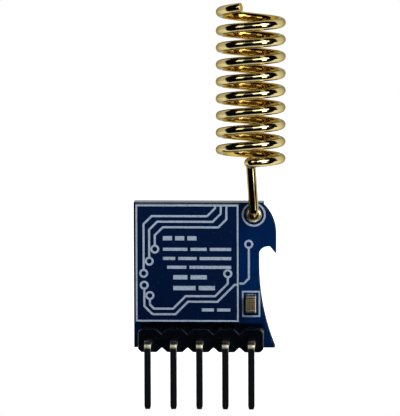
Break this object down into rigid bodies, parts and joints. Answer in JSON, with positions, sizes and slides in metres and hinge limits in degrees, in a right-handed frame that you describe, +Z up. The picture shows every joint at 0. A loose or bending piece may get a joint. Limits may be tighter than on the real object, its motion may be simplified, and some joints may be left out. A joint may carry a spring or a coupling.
{
  "type": "radio transceiver module",
  "caption": "Small long-range radio module: dark blue board standing on a right-angle pin row, shielded circuit and a gold spring antenna.",
  "frame": {"origin": "on the middle pin, on its own axis, where its straight leg starts below the bend", "axes": "+X to the right seen from the printed side, +Y through the board to its back, +Z up along the board and antenna"},
  "size_m": [0.015, 0.0097, 0.0397],
  "materials": {
    "glass_fibre": "pale greenish grey glass-fibre laminate, cut edge",
    "blue_coating": "dark blue solder coating, satin gloss",
    "cover_coating": "dark navy coating, matte",
    "white_print": "pale grey-white ink",
    "gold_plating": "thin gold over copper, satin",
    "black_moulding": "black glass-filled plastic, satin",
    "pin_metal": "bright tin or gold-flash plating, near black in reflection",
    "solder": "bright solder",
    "antenna_gold": "gold plated spring wire, polished",
    "antenna_solder": "solder flowed over gold, bright",
    "capacitor_ceramic": "tan-grey ceramic",
    "tin_plating": "tin plate, satin",
    "chip_moulding": "black moulding compound",
    "crystal_ceramic": "dark grey ceramic",
    "coil_ceramic": "blue-grey ceramic",
    "resistor_glaze": "black glaze"
  },
  "bodies": {
    "root": {"circuit_board": "glass_fibre", "front_coating": "blue_coating", "back_coating": "blue_coating", "pin_plating": "gold_plating", "antenna_plating": "gold_plating", "board_print": "white_print", "ground_strip": "gold_plating", "shield_cover": "cover_coating", "cover_print": "white_print", "header_block": "black_moulding", "pin_1": "pin_metal", "pin_2": "pin_metal", "pin_3": "pin_metal", "pin_4": "pin_metal", "pin_5": "pin_metal", "pin_solder_1": "solder", "pin_solder_2": "solder", "pin_solder_3": "solder", "pin_solder_4": "solder", "pin_solder_5": "solder", "antenna": "antenna_gold", "antenna_solder": "antenna_solder", "capacitor_body": "capacitor_ceramic", "capacitor_ends": "tin_plating", "capacitor_solder": "solder", "controller_chip": "chip_moulding", "transceiver_chip": "chip_moulding", "aerial_switch": "chip_moulding", "copper_lands": "gold_plating", "crystal_base": "crystal_ceramic", "crystal_lid": "tin_plating", "clock_base": "crystal_ceramic", "clock_lid": "tin_plating", "matching_coils": "coil_ceramic", "bypass_capacitors": "capacitor_ceramic", "bias_resistors": "resistor_glaze", "chip_part_ends": "tin_plating"}
  },
  "joints": []
}
